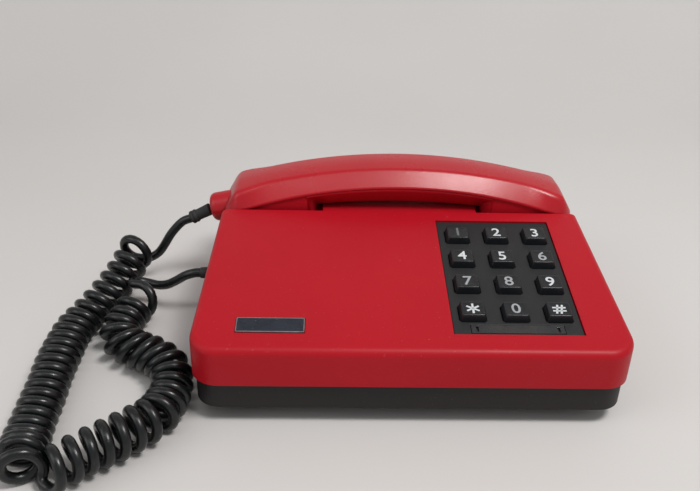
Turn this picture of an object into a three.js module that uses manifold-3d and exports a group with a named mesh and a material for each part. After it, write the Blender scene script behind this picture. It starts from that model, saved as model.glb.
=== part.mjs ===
// Push-button desk telephone with a cradle across the back and a curly handset cord.
// Millimetres. +X is the telephone's right, +Y its back, +Z up.
// The origin is on the table, in the middle of the body's footprint.

import * as THREE from 'three';
import { LoftGeometry } from 'three/addons/geometries/LoftGeometry.js';
import { mergeVertices } from 'three/addons/utils/BufferGeometryUtils.js';
import Module from 'manifold-3d';

// Body plan: wider at the front than at the back
const FRONT_Y = -80;
const BACK_Y = 80;
const FRONT_HALF_WIDTH = 100;
const BACK_HALF_WIDTH = 93.85;
const FRONT_CORNER = 13;
const BACK_CORNER = 10;

// Body heights
const FOOT_HEIGHT = 2.9;
const BASE_BOTTOM_Z = 3.2;
const BASE_CHAMFER_Z = 9;
const SPLIT_Z = 22.5;
const FRONT_TOP_Z = 41.5;
const SLOPE = THREE.MathUtils.degToRad(8);
const REAR_DECK_Z = 54;
const LEDGE_Z = 50.7;
const TROUGH_Z = 50.2;
const SHELF = { z: 55.6, back: 46 };
const WELL_Z = 40;

// Body shells
const WALL = 2.5;
const EDGE_RADIUS = 3.5;
const BASE_INSET = 1.8;
const BASE_CHAMFER = 8;
const GAP = 0.3;

// Cradle pocket behind the sloping deck
const SEAM_Y = 26.7;
const POCKET_BACK_Y = 66.9;
const WELL_INNER_X = 41.5;
const WELL_OUTER_X = 93;

// Keypad, measured along the sloping deck: s runs back from the front edge, h out of the deck
const PANEL = { x0: 18.6, x1: 77.4, s0: 12.3, s1: 99.6, top: -0.8, bottom: -4.3, rim: 2.4 };
const KEY_COLUMN_X = 28.3;
const KEY_ROW_S = 26.7;
const KEY_PITCH_X = 19.93;
const KEY_PITCH_S = 19.82;
const KEY_TOP = { x: 10.6, s: 9.4, h: 2.8 };
const KEY_SKIRT = { x: 12.2, s: 11 };
const KEY_FLANGE = { x: 15.8, s: 14.4, top: -5, bottom: -6.2 };
const KEY_NAMES = [['star', '0', 'hash'], ['7', '8', '9'], ['4', '5', '6'], ['1', '2', '3']];
const CARD = { x0: 26.4, x1: 69.4, s0: 13.4, s1: 19.4, depth: 0.9 };
const BADGE = { x0: -79.2, x1: -48.4, s0: 11.9, s1: 21.3, depth: 0.6, thickness: 0.8 };
const MAT = { top: -10.3, bottom: -11.3, pad: 0.8 };
const KEY_BOARD = { top: -11.6, bottom: -13.2 };

// Handset: its arch is an arc in the front view, and its ends slope outwards
const HANDSET_FRONT = 28;
const HANDSET_BACK = 65;
const HANDSET_MIDDLE = (HANDSET_FRONT + HANDSET_BACK) / 2;
const HANDSET_HALF_LENGTH = 95.2;
const CREST_Z = 78.6;
const CREST_RADIUS = 302;
const PARTING_Z = 69.3;
const PARTING_RADIUS = 260;
const GRIP_UNDER_Z = 58.6;
const GRIP_UNDER_RADIUS = 420;
const SHOULDER = { x: 91.3, z: 61.2, fall: 1.9, blend: 1.2 };
const HANDSET_CORNER = 8;
const HANDSET_WALL = 2.3;
const CUP = { x0: 44, x1: 92.6, bottom: WELL_Z + GAP, draft: 1.2 };
const CAPSULE_X = 68;

// Places of fastenings and feet
const CASE_SCREWS = [[-86, -66], [86, -66], [-30, 62], [30, 62]];
const FEET = [[-72, -56], [72, -56], [-70, 58], [70, 58]];
const HANDSET_SCREW_X = 34;
const PLUNGER = { x: -52, y: HANDSET_MIDDLE, radius: 3.2 };
const SCREW_HOLE = 1.8;

// Cord
const CORD_RADIUS = 2.5;
const COIL_RADIUS = 9.6;
const GLAND = { x: -96.6, y: 8, z: 28 };
const COLLAR = { x: -89, z: 50.9, radius: 8, length: 15.2, tilt: THREE.MathUtils.degToRad(12) };
const RELIEF = { start: [-104.1, 46.5, 47.2], end: [-115.7, 46.5, 41.1] };
const HANDSET_TAIL = [
  [-114.4, 46.5, 41.8], [-116.1, 46.5, 40.8], [-121.5, 46.8, 38.1], [-127.8, 46.9, 31],
  [-132.4, 46.8, 23.6], [-134.5, 46.7, 20.4], [-136.9, 46.5, 17.7], [-141.4, 46.1, 15.2],
];
const COIL_BACK = [
  [-147.4, 46, 22.8], [-149.2, 38.8, 20.2], [-151.8, 31.5, 17.2], [-154.8, 23.3, 14.4],
  [-157.8, 15.3, 12.3], [-160.6, 7.6, 11.2], [-164.6, -5, 10.7], [-168, -22, 10.7],
  [-168.3, -46, 10.7], [-166.8, -72, 10.7], [-165.8, -94, 10.7], [-164.6, -106, 10.7],
  [-163, -114.5, 10.7], [-160, -121, 10.7],
];
const COIL_FRONT = [
  [-144.9, -115.8, 10.7], [-142.2, -113.2, 10.7], [-136.8, -108.4, 10.7], [-129.7, -102.6, 10.7],
  [-122.4, -96, 10.7], [-113.6, -86, 10.7], [-110.4, -73, 10.7], [-110.6, -60, 10.7],
  [-114.5, -50, 10.7], [-123, -41.5, 10.7], [-133.5, -35.5, 10.7], [-141.6, -28, 10.7],
  [-144.4, -18, 10.7], [-142.2, -7, 10.7], [-140.6, 2, 10.7], [-138.6, 9, 11.4],
];
const BASE_TAIL = [
  [-143.8, 12.6, 17.9], [-145, 15.5, 17.1], [-143.8, 18.5, 15.9], [-140.6, 20, 14.6],
  [-136.2, 19.8, 13.7], [-131.2, 17.7, 13.9], [-125.6, 14.6, 16.4], [-120, 11.6, 20.8],
  [-114.5, 9.2, 25.4], [-109.6, 8.1, 27.7], [-106.7, 8, 28], [-104.6, 8, 28],
];

const wasm = await Module();
wasm.setup();

// ---------------------------------------------------------------- solids

function toSolid(geometry) {
  const bare = new THREE.BufferGeometry();
  bare.setAttribute('position', geometry.getAttribute('position'));
  bare.setIndex(geometry.getIndex());
  const merged = mergeVertices(bare, 1e-4);
  const index = merged.index.array;
  const triangles = [];
  for (let i = 0; i < index.length; i += 3) {
    const [a, b, c] = index.slice(i, i + 3);
    if (a !== b && b !== c && c !== a) triangles.push(a, b, c);
  }
  return new wasm.Manifold(new wasm.Mesh({
    numProp: 3,
    vertProperties: Float32Array.from(merged.attributes.position.array),
    triVerts: Uint32Array.from(triangles),
  }));
}

function toGeometry(solid) {
  const mesh = solid.getMesh();
  const geometry = new THREE.BufferGeometry();
  geometry.setAttribute('position', new THREE.BufferAttribute(mesh.vertProperties, 3));
  geometry.setIndex(new THREE.BufferAttribute(mesh.triVerts, 1));
  geometry.computeVertexNormals();
  return geometry;
}

function union(solids) {
  return solids.reduce((sum, solid) => sum.add(solid));
}

function cut(solid, cutters) {
  return cutters.reduce((rest, cutter) => rest.subtract(cutter), solid);
}

function place(geometry, matrix) {
  return matrix ? geometry.applyMatrix4(matrix) : geometry;
}

function centre(points) {
  return points.reduce((sum, p) => sum.add(p), new THREE.Vector3()).divideScalar(points.length);
}

// Skins closed rings of points into one solid, whichever way round the rings run
function loft(rings, matrix) {
  const start = centre(rings[0]);
  const forward = centre(rings.at(-1)).sub(start);
  const normal = new THREE.Vector3();
  rings[0].forEach((p, i) => {
    const next = rings[0][(i + 1) % rings[0].length];
    normal.add(p.clone().sub(start).cross(next.clone().sub(start)));
  });
  const sections = normal.dot(forward) > 0 ? rings : rings.map((points) => [...points].reverse());
  return toSolid(place(new LoftGeometry(sections, { capStart: true, capEnd: true }), matrix));
}

function box(x0, x1, y0, y1, z0, z1, matrix) {
  const geometry = new THREE.BoxGeometry(x1 - x0, y1 - y0, z1 - z0);
  geometry.translate((x0 + x1) / 2, (y0 + y1) / 2, (z0 + z1) / 2);
  return toSolid(place(geometry, matrix));
}

// A turned solid: profile points are [radius, height], and the axis is +Z through (x, y)
function turned(profile, x, y, sides = 24, matrix) {
  const geometry = new THREE.LatheGeometry(profile.map(([r, z]) => new THREE.Vector2(r, z)), sides);
  geometry.rotateX(Math.PI / 2);
  geometry.translate(x, y, 0);
  return toSolid(place(geometry, matrix));
}

function rod(radius, x, y, z0, z1, sides = 24, matrix) {
  return turned([[0, z0], [radius, z0], [radius, z1], [0, z1]], x, y, sides, matrix);
}

// Carries a solid drawn along +Z from the origin to a start point and direction
function alongAxis(start, direction) {
  const turn = new THREE.Quaternion();
  turn.setFromUnitVectors(new THREE.Vector3(0, 0, 1), direction.clone().normalize());
  return new THREE.Matrix4().compose(start, turn, new THREE.Vector3(1, 1, 1));
}

// A polygon with its corners rounded, or left sharp where the radius is 0
function roundedOutline(corners, radii, steps = 5) {
  const outline = [];
  corners.forEach((corner, i) => {
    const here = new THREE.Vector2(...corner);
    const before = new THREE.Vector2(...corners.at(i - 1)).sub(here).normalize();
    const after = new THREE.Vector2(...corners[(i + 1) % corners.length]).sub(here).normalize();
    const half = Math.acos(THREE.MathUtils.clamp(before.dot(after), -1, 1)) / 2;
    const radius = radii[i % radii.length];
    if (radius === 0) {
      outline.push(here);
      return;
    }
    const centre = before.clone().add(after).normalize().multiplyScalar(radius / Math.sin(half));
    const from = before.clone().multiplyScalar(radius / Math.tan(half)).sub(centre);
    const to = after.clone().multiplyScalar(radius / Math.tan(half)).sub(centre);
    const sweep = Math.atan2(from.cross(to), from.dot(to));
    for (let k = 0; k <= steps; k++) {
      const spoke = from.clone().rotateAround(new THREE.Vector2(), (sweep * k) / steps);
      outline.push(here.clone().add(centre).add(spoke));
    }
  });
  return outline;
}

function rectangle(x0, x1, y0, y1, radius, steps = 3) {
  return roundedOutline([[x0, y0], [x1, y0], [x1, y1], [x0, y1]], [radius], steps);
}

function ring(outline, height) {
  return outline.map((p) => new THREE.Vector3(p.x, p.y, typeof height === 'function' ? height(p.y) : height));
}

// A prism along Y of a profile in (x, z)
function prismY(profile, y0, y1) {
  return loft([y0, y1].map((y) => profile.map(([x, z]) => new THREE.Vector3(x, y, z))));
}

// ---------------------------------------------------------------- body forms

function deckZ(y) {
  return FRONT_TOP_Z + Math.tan(SLOPE) * (y - FRONT_Y);
}

function bodyOutline(inset) {
  const front = FRONT_HALF_WIDTH - inset;
  const back = BACK_HALF_WIDTH - inset;
  return roundedOutline(
    [[-front, FRONT_Y + inset], [front, FRONT_Y + inset], [back, BACK_Y - inset], [-back, BACK_Y - inset]],
    [Math.max(FRONT_CORNER - inset, 1), Math.max(FRONT_CORNER - inset, 1),
      Math.max(BACK_CORNER - inset, 1), Math.max(BACK_CORNER - inset, 1)],
    4,
  );
}

// The body's outer form, inset all round, up to a top given as a function of y, with a rounded rim
function bodyForm(inset, bottom, top, rim) {
  const rings = [ring(bodyOutline(inset), bottom)];
  const steps = 3;
  for (let k = 0; k <= steps; k++) {
    const angle = (k / steps) * (Math.PI / 2);
    const step = rim * (1 - Math.cos(angle));
    const drop = rim * (1 - Math.sin(angle));
    rings.push(ring(bodyOutline(inset + step), (y) => top(y) - drop));
  }
  return loft(rings);
}

const frontSpace = box(-120, 120, -120, SEAM_Y, -20, 120);
const rearSpace = box(-120, 120, SEAM_Y - 0.01, 120, -20, 120);

// The keypad's frame: x across, y back along the deck, z out of the deck
const keypadMatrix = new THREE.Matrix4().compose(
  new THREE.Vector3(0, FRONT_Y, FRONT_TOP_Z),
  new THREE.Quaternion().setFromAxisAngle(new THREE.Vector3(1, 0, 0), SLOPE),
  new THREE.Vector3(1, 1, 1),
);

// ---------------------------------------------------------------- materials and scene

const FINISHES = {
  red: { color: 0xa81f2c, roughness: 0.42, metalness: 0 },
  black: { color: 0x241f1e, roughness: 0.5, metalness: 0 },
  charcoal: { color: 0x2b2b2c, roughness: 0.45, metalness: 0 },
  key: { color: 0x15171a, roughness: 0.35, metalness: 0 },
  rubber: { color: 0x1b1b1b, roughness: 0.8, metalness: 0 },
  cord: { color: 0x101314, roughness: 0.4, metalness: 0 },
  plate: { color: 0x2c313d, roughness: 0.3, metalness: 0.4 },
  window: { color: 0x23242a, roughness: 0.2, metalness: 0 },
  steel: { color: 0xb8b8b8, roughness: 0.35, metalness: 1 },
  brass: { color: 0xc8a24a, roughness: 0.35, metalness: 1 },
  board: { color: 0x2f6b3c, roughness: 0.6, metalness: 0 },
  silicone: { color: 0xb9bcbc, roughness: 0.7, metalness: 0 },
  housing: { color: 0x303236, roughness: 0.55, metalness: 0 },
};

const phone = new THREE.Group();
const keypad = new THREE.Group();
keypad.position.set(0, FRONT_Y, FRONT_TOP_Z);
keypad.rotation.x = SLOPE;
phone.add(keypad);

function addPart(name, solid, finish, parent = phone) {
  const mesh = new THREE.Mesh(toGeometry(solid), new THREE.MeshStandardMaterial(FINISHES[finish]));
  mesh.name = name;
  parent.add(mesh);
}

// ---------------------------------------------------------------- handset surfaces

function arcZ(x, top, radius) {
  return top - radius + Math.sqrt(radius * radius - x * x);
}

function partingZ(x) {
  return arcZ(x, PARTING_Z, PARTING_RADIUS);
}

function gripUnderZ(x) {
  return arcZ(x, GRIP_UNDER_Z, GRIP_UNDER_RADIUS);
}

// The handset's upper outline from the front: the arch runs softly into the sloping end
function crestZ(x) {
  const arch = arcZ(x, CREST_Z, CREST_RADIUS);
  const end = SHOULDER.z - SHOULDER.fall * (Math.abs(x) - SHOULDER.x);
  const k = SHOULDER.blend;
  return -k * Math.log(Math.exp(-arch / k) + Math.exp(-end / k));
}

// How far the front and back faces draw in where the handset's ends are rounded in plan
function cornerIn(x) {
  const past = Math.abs(x) - (HANDSET_HALF_LENGTH - HANDSET_CORNER);
  if (past <= 0) return 0;
  return HANDSET_CORNER - Math.sqrt(Math.max(HANDSET_CORNER ** 2 - past ** 2, 0));
}

// Upper shell section: short upright edge, wide chamfer, rounded ridge and a nearly flat top
function upperSection(x, inset, bottom) {
  const toEnd = THREE.MathUtils.smoothstep(Math.abs(x), 70, 86);
  const top = crestZ(x) - inset;
  const front = HANDSET_FRONT + cornerIn(x) + inset;
  const back = HANDSET_BACK - cornerIn(x) - inset;
  const height = Math.max(top - partingZ(x), 1.5);
  const chamfer = THREE.MathUtils.lerp(7.6, 3.6, toEnd) * Math.min(1, height / 6);
  const upright = 0.1 * height;
  const ridge = top - 0.1 * height;
  const low = partingZ(x) + upright;
  const ridgeRadius = Math.min(5, 0.45 * height);
  const footRadius = Math.min(1.5, 0.12 * height);
  const profile = [
    [front, bottom(x)], [front, low], [front + chamfer, ridge],
    [HANDSET_MIDDLE, top],
    [back - chamfer, ridge], [back, low], [back, bottom(x)],
  ];
  const radii = [0, footRadius, ridgeRadius, 0, ridgeRadius, footRadius, 0];
  return roundedOutline(profile, radii, 2).map((p) => new THREE.Vector3(x, p.x, p.y));
}

const UPPER_STATIONS = [0, 18, 36, 52, 66, 77, 84, 88.5, 91.5, 94, HANDSET_HALF_LENGTH];

function mirrored(stations) {
  return [...stations.slice(1).reverse().map((x) => -x), ...stations];
}

function upperForm(inset, bottom, endInset) {
  const stations = UPPER_STATIONS.filter((x) => x < HANDSET_HALF_LENGTH - endInset);
  stations.push(HANDSET_HALF_LENGTH - endInset);
  return loft(mirrored(stations).map((x) => upperSection(x, inset, bottom)));
}

// Everything above the parting arc, moved by an offset
function aboveParting(offset) {
  const profile = [[-110, 110]];
  for (let x = -110; x <= 110; x += 20) profile.push([x, partingZ(x) + offset]);
  profile.push([110, 110]);
  return prismY(profile, 0, 90);
}

// The grip's lower half, between the cups
function gripSection(x, inset) {
  const front = HANDSET_FRONT + 0.3 + inset;
  const back = HANDSET_BACK - 0.3 - inset;
  const under = gripUnderZ(x) + inset;
  const side = (partingZ(x) - gripUnderZ(x)) * 0.16;
  const profile = [
    [front, 80], [front, partingZ(x) - side], [front + 6.5, under],
    [back - 6.5, under], [back, partingZ(x) - side], [back, 80],
  ];
  return roundedOutline(profile, [0, 1.2, 3, 3, 1.2, 0], 2).map((p) => new THREE.Vector3(x, p.x, p.y));
}

function gripForm(inset, halfLength) {
  const stations = [0, 20, 38, halfLength];
  return loft(mirrored(stations).map((x) => gripSection(x, inset)));
}

// A cup under one end of the handset, with a slight draft
function cupForm(side, inset, bottom) {
  const levels = [[bottom, CUP.draft + 1.2], [bottom + 1.2, CUP.draft], [80, 0]];
  return loft(levels.map(([z, draft]) => {
    const grow = inset + draft;
    const x0 = CUP.x0 + grow;
    const x1 = CUP.x1 + (z === 80 ? 0 : -0.4) - inset - draft * 0.4;
    const outline = rectangle(x0, x1, HANDSET_FRONT + GAP + grow, HANDSET_BACK - GAP - grow, 7 - inset, 2);
    return ring(outline.map((p) => new THREE.Vector2(p.x * side, p.y)), z);
  }));
}

const collarDirection = new THREE.Vector3(-Math.cos(COLLAR.tilt), 0, -Math.sin(COLLAR.tilt));
const collarMatrix = alongAxis(new THREE.Vector3(COLLAR.x, HANDSET_MIDDLE, COLLAR.z), collarDirection);

function collarForm(grow) {
  const r = COLLAR.radius + grow;
  const l = COLLAR.length + grow;
  const profile = [[0, -grow], [r, -grow], [r, l - 2.2], [r - 0.8, l - 0.7], [r - 2.2, l], [0, l]];
  return turned(profile, 0, 0, 20, collarMatrix);
}

// ---------------------------------------------------------------- body shells

function addTopCover() {
  const rearTop = () => REAR_DECK_Z;
  const outer = bodyForm(0, SPLIT_Z, deckZ, EDGE_RADIUS).intersect(frontSpace)
    .add(bodyForm(0, SPLIT_Z, rearTop, EDGE_RADIUS).intersect(rearSpace));
  const pocket = union([
    box(-WELL_OUTER_X, WELL_OUTER_X, SEAM_Y, POCKET_BACK_Y, TROUGH_Z, 90),
    box(-120, 120, SEAM_Y, POCKET_BACK_Y, LEDGE_Z, 90),
    ...[-1, 1].map((side) => {
      const ends = [side * WELL_INNER_X, side * WELL_OUTER_X].sort((a, b) => a - b);
      return box(...ends, SEAM_Y, POCKET_BACK_Y, WELL_Z, 90);
    }),
  ]);
  const innerDeck = (y) => deckZ(y) - WALL;
  const cavityFront = bodyForm(WALL, SPLIT_Z - 1, innerDeck, 1.2)
    .intersect(box(-120, 120, -120, SEAM_Y - WALL, 0, 120));
  const cavityRear = bodyForm(WALL, SPLIT_Z - 1, () => WELL_Z - WALL, 1.2)
    .intersect(box(-120, 120, SEAM_Y - WALL - 0.01, 120, 0, 120));
  const cavityTrough = box(-39, 39, SEAM_Y - 1, POCKET_BACK_Y, WELL_Z - WALL - 1, TROUGH_Z - WALL);
  const cavityDeck = box(-84, 84, POCKET_BACK_Y + WALL, BACK_Y - WALL, WELL_Z - 4, REAR_DECK_Z - WALL);
  const screwPosts = CASE_SCREWS.map(([x, y]) => rod(4, x, y, 20.3, y < 0 ? 43 : TROUGH_Z - 1.5, 16));
  const boardPosts = [];
  for (const x of [12.8, 83.2]) {
    for (const s of [26, 92]) boardPosts.push(rod(2.6, x, s, KEY_BOARD.top + GAP, -1, 12, keypadMatrix));
  }
  const shelf = box(-WELL_INNER_X, WELL_INNER_X, SEAM_Y - 1, SHELF.back, TROUGH_Z - 1, SHELF.z);
  const shell = union([cut(outer, [pocket, cavityFront, cavityRear, cavityTrough, cavityDeck]),
    shelf, ...screwPosts, ...boardPosts]);
  const panelHole = box(PANEL.x0 - GAP, PANEL.x1 + GAP, PANEL.s0 - GAP, PANEL.s1 + GAP, -6, 6, keypadMatrix);
  const badgeSeat = box(BADGE.x0 - GAP, BADGE.x1 + GAP, BADGE.s0 - GAP, BADGE.s1 + GAP,
    -BADGE.depth, 6, keypadMatrix);
  const glandHole = turned([[0, -8], [3.8, -8], [3.8, 8], [0, 8]], 0, 0, 20,
    alongAxis(new THREE.Vector3(GLAND.x, GLAND.y, GLAND.z), new THREE.Vector3(-1, 0, 0)));
  const collarNotch = collarForm(0.7).add(
    box(-110, -90, HANDSET_MIDDLE - COLLAR.radius - 0.7, HANDSET_MIDDLE + COLLAR.radius + 0.7, 49.4, 60));
  const pilotHoles = CASE_SCREWS.map(([x, y]) => rod(SCREW_HOLE, x, y, 10, 32, 12));
  const plungerHole = rod(PLUNGER.radius + 0.4, PLUNGER.x, PLUNGER.y, 30, 45, 16);
  addPart('top_cover', cut(shell, [panelHole, badgeSeat, glandHole, collarNotch, plungerHole,
    ...pilotHoles]), 'red');
}

const JACK = { x0: -71, x1: -56, z0: 9.4, z1: 20.6, depth: 13 };

function addBaseTray() {
  const outlineAt = (inset, z) => ring(bodyOutline(inset), z);
  const outer = loft([
    outlineAt(BASE_INSET + BASE_CHAMFER, BASE_BOTTOM_Z),
    outlineAt(BASE_INSET, BASE_CHAMFER_Z),
    outlineAt(BASE_INSET, SPLIT_Z - GAP),
  ]);
  const inner = loft([
    outlineAt(BASE_INSET + BASE_CHAMFER + 1.5, BASE_BOTTOM_Z + WALL),
    outlineAt(BASE_INSET + WALL, BASE_CHAMFER_Z + 1.4),
    outlineAt(BASE_INSET + WALL, SPLIT_Z + 5),
  ]);
  const rimOuter = loft([outlineAt(BASE_INSET + 1.3, SPLIT_Z - 4), outlineAt(BASE_INSET + 1.3, SPLIT_Z + 1.5)]);
  const rimInner = loft([outlineAt(BASE_INSET + 2.6, SPLIT_Z - 5), outlineAt(BASE_INSET + 2.6, SPLIT_Z + 3)]);
  const posts = CASE_SCREWS.map(([x, y]) => rod(5, x, y, BASE_BOTTOM_Z + 1, 20, 16));
  const boardPosts = [[-60, -44], [60, -44], [-20, 48], [60, 46]]
    .map(([x, y]) => rod(3, x, y, BASE_BOTTOM_Z + 1, 13.7, 12));
  const tray = union([outer.subtract(inner), rimOuter.subtract(rimInner), ...posts, ...boardPosts]);
  const screwHoles = CASE_SCREWS.flatMap(([x, y]) => [
    rod(SCREW_HOLE, x, y, 0, 30, 12), rod(3.6, x, y, 0, 7.2, 16),
  ]);
  const footHoles = FEET.map(([x, y]) => rod(2.3, x, y, 0, 9, 12));
  const jackHole = box(JACK.x0 - GAP, JACK.x1 + GAP, 70, 90, JACK.z0 - GAP, JACK.z1 + GAP);
  const glandNotch = box(-100, -90, GLAND.y - 6, GLAND.y + 6, SPLIT_Z - GAP, SPLIT_Z + 5);
  const soundSlots = [-2, -1, 0, 1, 2].map((i) => box(29 + i * 5, 31 + i * 5, -22, 2, 0, 9));
  addPart('base_tray', cut(tray, [...screwHoles, ...footHoles, jackHole, glandNotch, ...soundSlots]), 'black');
}

function addFeet() {
  FEET.forEach(([x, y], i) => {
    const profile = [[0, 0], [6.4, 0], [7, 0.6], [7, FOOT_HEIGHT], [2, FOOT_HEIGHT], [2, 6.2], [0, 6.2]];
    addPart(`rubber_foot_${i + 1}`, turned(profile, x, y, 14), 'rubber');
  });
}

function addCaseScrews() {
  CASE_SCREWS.forEach(([x, y], i) => {
    const profile = [[0, 4.6], [3, 4.6], [3, 6.9], [1.45, 6.9], [1.45, 28], [0, 29.5]];
    const screw = cut(turned(profile, x, y, 16), [
      box(x - 2, x + 2, y - 0.4, y + 0.4, 4, 5.6), box(x - 0.4, x + 0.4, y - 2, y + 2, 4, 5.6),
    ]);
    addPart(`case_screw_${i + 1}`, screw, 'steel');
  });
}

// ---------------------------------------------------------------- keypad

function keyPlace(column, row) {
  return [KEY_COLUMN_X + column * KEY_PITCH_X, KEY_ROW_S + row * KEY_PITCH_S];
}

function eachKey(visit) {
  KEY_NAMES.forEach((names, row) => names.forEach((name, column) => visit(name, ...keyPlace(column, row))));
}

function centred(x, s, width, depth, radius) {
  return rectangle(x - width / 2, x + width / 2, s - depth / 2, s + depth / 2, radius, 1);
}

function addKeypad() {
  const panelOutline = rectangle(PANEL.x0, PANEL.x1, PANEL.s0, PANEL.s1, 1, 2);
  const rimOutline = rectangle(PANEL.x0 - PANEL.rim, PANEL.x1 + PANEL.rim,
    PANEL.s0 - PANEL.rim, PANEL.s1 + PANEL.rim, 2, 2);
  const plate = loft([ring(panelOutline, PANEL.bottom), ring(panelOutline, PANEL.top)]);
  const rim = loft([ring(rimOutline, PANEL.bottom), ring(rimOutline, -WALL - GAP)]);
  const cutters = [box(CARD.x0, CARD.x1, CARD.s0, CARD.s1, PANEL.top - CARD.depth, 2)];
  eachKey((name, x, s) => {
    const hole = centred(x, s, KEY_SKIRT.x + 0.6, KEY_SKIRT.s + 0.6, 1.2);
    cutters.push(loft([ring(hole, -8), ring(hole, 2)]));
  });
  addPart('keypad_panel', cut(plate.add(rim), cutters), 'charcoal', keypad);

  const windowPlate = box(CARD.x0 + GAP, CARD.x1 - GAP, CARD.s0 + GAP, CARD.s1 - GAP,
    PANEL.top - CARD.depth + GAP, PANEL.top + 0.1);
  const slots = [CARD.x0 + 2.4, CARD.x1 - 3.6].map((x) => box(x, x + 1.2, CARD.s0 + 1.2, CARD.s1 - 1.4, -3, 2));
  addPart('number_card_window', cut(windowPlate, slots), 'window', keypad);

  eachKey((name, x, s) => {
    const level = (width, depth, radius, h) => ring(centred(x, s, width, depth, radius), h);
    const shape = loft([
      level(KEY_FLANGE.x, KEY_FLANGE.s, 1, KEY_FLANGE.bottom),
      level(KEY_FLANGE.x, KEY_FLANGE.s, 1, KEY_FLANGE.top),
      level(KEY_SKIRT.x, KEY_SKIRT.s, 1, KEY_FLANGE.top + 0.01),
      level(KEY_SKIRT.x, KEY_SKIRT.s, 1, PANEL.top),
      level(KEY_TOP.x + 0.2, KEY_TOP.s + 0.2, 0.9, KEY_TOP.h - 0.4),
      level(KEY_TOP.x - 0.6, KEY_TOP.s - 0.6, 0.7, KEY_TOP.h),
    ]);
    addPart(`key_${name}`, shape, 'key', keypad);
  });

  const boardOutline = rectangle(9.5, 86.5, 19, 101, 2, 2);
  const mat = box(18, 78, 20, 98, MAT.bottom, MAT.top);
  const pads = [];
  eachKey((name, x, s) => pads.push(rod(4, x, s, MAT.top - 0.3, MAT.top + MAT.pad, 8)));
  addPart('keypad_mat', union([mat, ...pads]), 'silicone', keypad);
  const board = loft([ring(boardOutline, KEY_BOARD.bottom), ring(boardOutline, KEY_BOARD.top)]);
  addPart('keypad_board', board, 'board', keypad);
}

function addBadge() {
  const outline = rectangle(BADGE.x0, BADGE.x1, BADGE.s0, BADGE.s1, 0.5, 1);
  const low = -BADGE.depth + GAP;
  addPart('badge_plate', loft([ring(outline, low), ring(outline, low + BADGE.thickness)]), 'plate', keypad);
}

// ---------------------------------------------------------------- inside the body

function addElectronics() {
  const boardOutline = rectangle(-66, 66, -50, 52, 3, 2);
  const notches = [[-30, 62], [30, 62]].map(([x, y]) => rod(7, x, y, 10, 20, 16));
  const board = loft([ring(boardOutline, 14), ring(boardOutline, 15.6)]);
  addPart('main_board', cut(board, notches), 'board');
  addPart('dialler_chip', box(-22, 2, -34, -27, 15.9, 19.4), 'housing');
  addPart('line_transformer', box(22, 44, 28, 46, 15.9, 32), 'housing');
  addPart('ring_capacitor', rod(5.5, 2, 30, 15.9, 31, 20), 'housing');

  const sounder = turned([[0, 6], [17.5, 6], [18, 6.5], [18, 12.4], [17, 13], [0, 13]], 30, -10, 20);
  addPart('ringer_sounder', sounder.subtract(rod(15, 30, -10, 5, 8, 20)), 'housing');

  const jack = box(JACK.x0, JACK.x1, BACK_Y - BASE_INSET - JACK.depth, BACK_Y - BASE_INSET - 0.2,
    JACK.z0, JACK.z1);
  const middle = (JACK.x0 + JACK.x1) / 2;
  const socket = box(middle - 5, middle + 5, BACK_Y - BASE_INSET - 10.5, BACK_Y, 11.6, 18.8);
  const latchSlot = box(middle - 1.8, middle + 1.8, BACK_Y - BASE_INSET - 8, BACK_Y, 10.4, 11.7);
  addPart('line_jack', cut(jack, [socket, latchSlot]), 'housing');
}

function addHookSwitch() {
  const { x, y, radius } = PLUNGER;
  const springBottom = 26.6;
  const springTop = 30.7;
  const flange = 31;
  const body = box(x - 7, x + 7, y - 5.5, y + 5.5, 15.9, springBottom - GAP);
  addPart('hook_switch', body.subtract(rod(1.9, x, y, 20, 40, 12)), 'housing');
  const profile = [
    [0, 24.5], [1.4, 24.5], [1.4, flange], [5, flange], [5, flange + 1.3], [radius, flange + 1.3],
    [radius, WELL_Z - 0.8], [radius - 0.8, WELL_Z], [0, WELL_Z],
  ];
  addPart('hook_plunger', turned(profile, x, y, 14), 'charcoal');

  const turns = 4;
  const wire = 0.3;
  const points = [];
  for (let k = 0; k <= turns * 8; k++) {
    const angle = (k / 8) * 2 * Math.PI;
    const z = springBottom + wire + (springTop - springBottom - 2 * wire) * (k / (turns * 8));
    points.push(new THREE.Vector3(x + 2.9 * Math.cos(angle), y + 2.9 * Math.sin(angle), z));
  }
  addPart('hook_spring', tube(points, wire, 4, turns * 8), 'steel');
}

// ---------------------------------------------------------------- handset

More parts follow.
